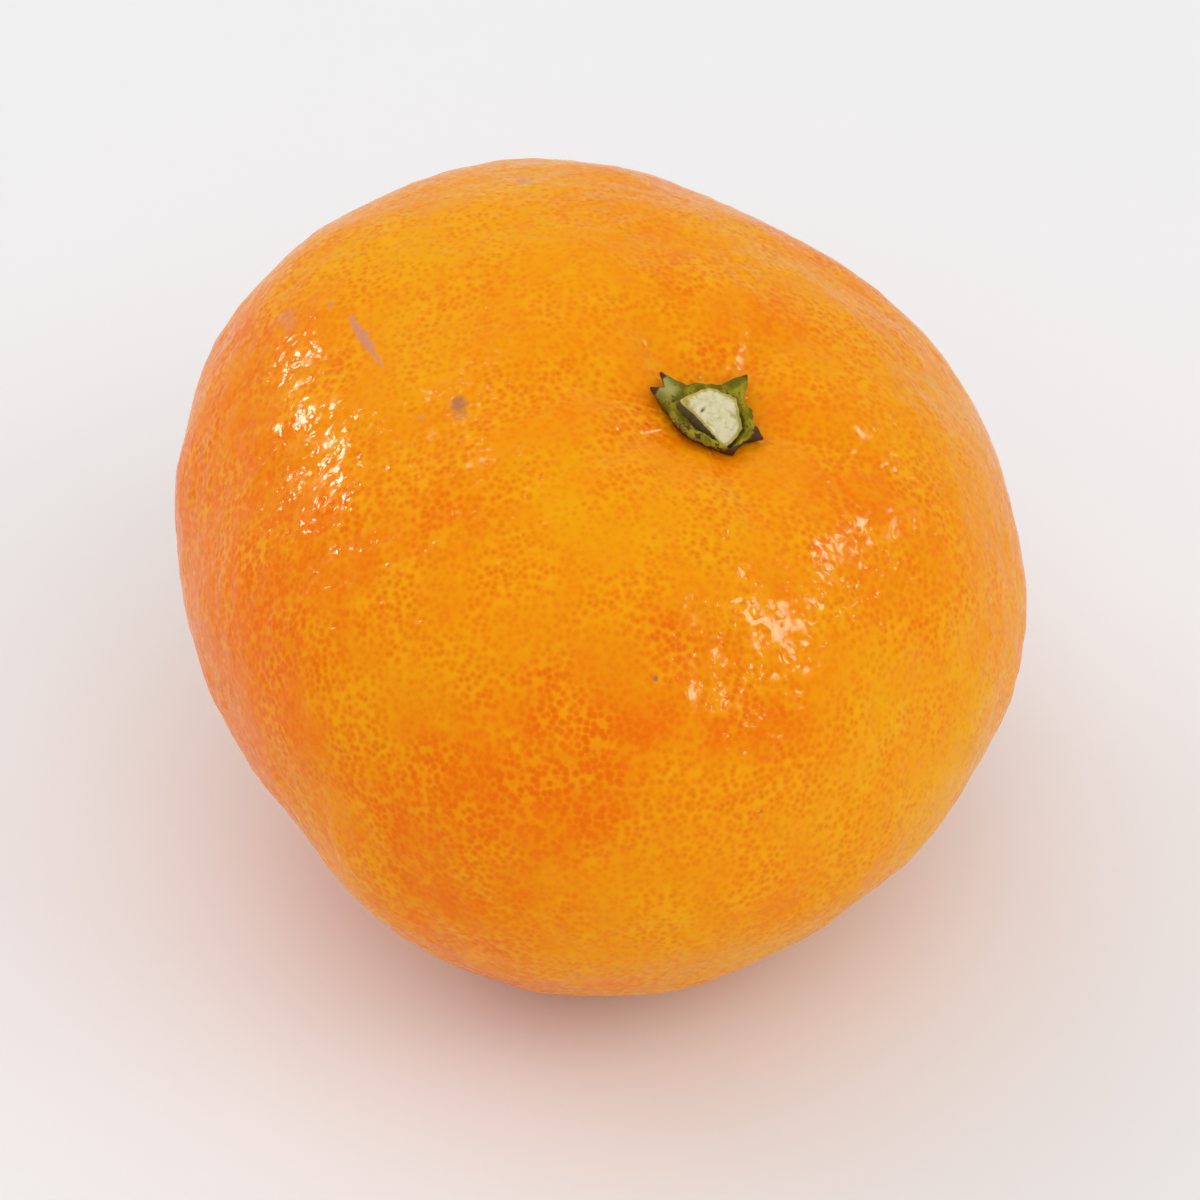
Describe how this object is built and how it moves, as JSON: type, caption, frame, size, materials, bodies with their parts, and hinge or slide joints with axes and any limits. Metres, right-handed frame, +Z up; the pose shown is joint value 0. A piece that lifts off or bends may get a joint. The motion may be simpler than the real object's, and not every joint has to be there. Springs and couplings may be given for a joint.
{
  "type": "mandarin",
  "caption": "Whole mandarin of the satsuma kind: squat, slightly lopsided orange fruit lying tilted on a small flat spot, with its green calyx and the cut end of its stalk.",
  "frame": {"origin": "centre of the small flat spot that the fruit rests on", "axes": "+Z up, away from the surface; the stem end leans 27.7 degrees from +Z, towards -Y and +X"},
  "size_m": [0.0664, 0.0718, 0.0532],
  "materials": {
    "rind": "deep yellow-orange citrus rind, waxy half gloss, pebbled with sunken oil glands, pale wrinkles and a few small tan scars",
    "calyx": "dull olive-green plant tissue with brown, dried, turned-up sepal tips",
    "cut_stalk": "matt pale cream-green cut face, darker green skin round the side"
  },
  "bodies": {
    "root": {"fruit": "rind", "calyx": "calyx", "stem_stub": "cut_stalk"}
  },
  "joints": []
}
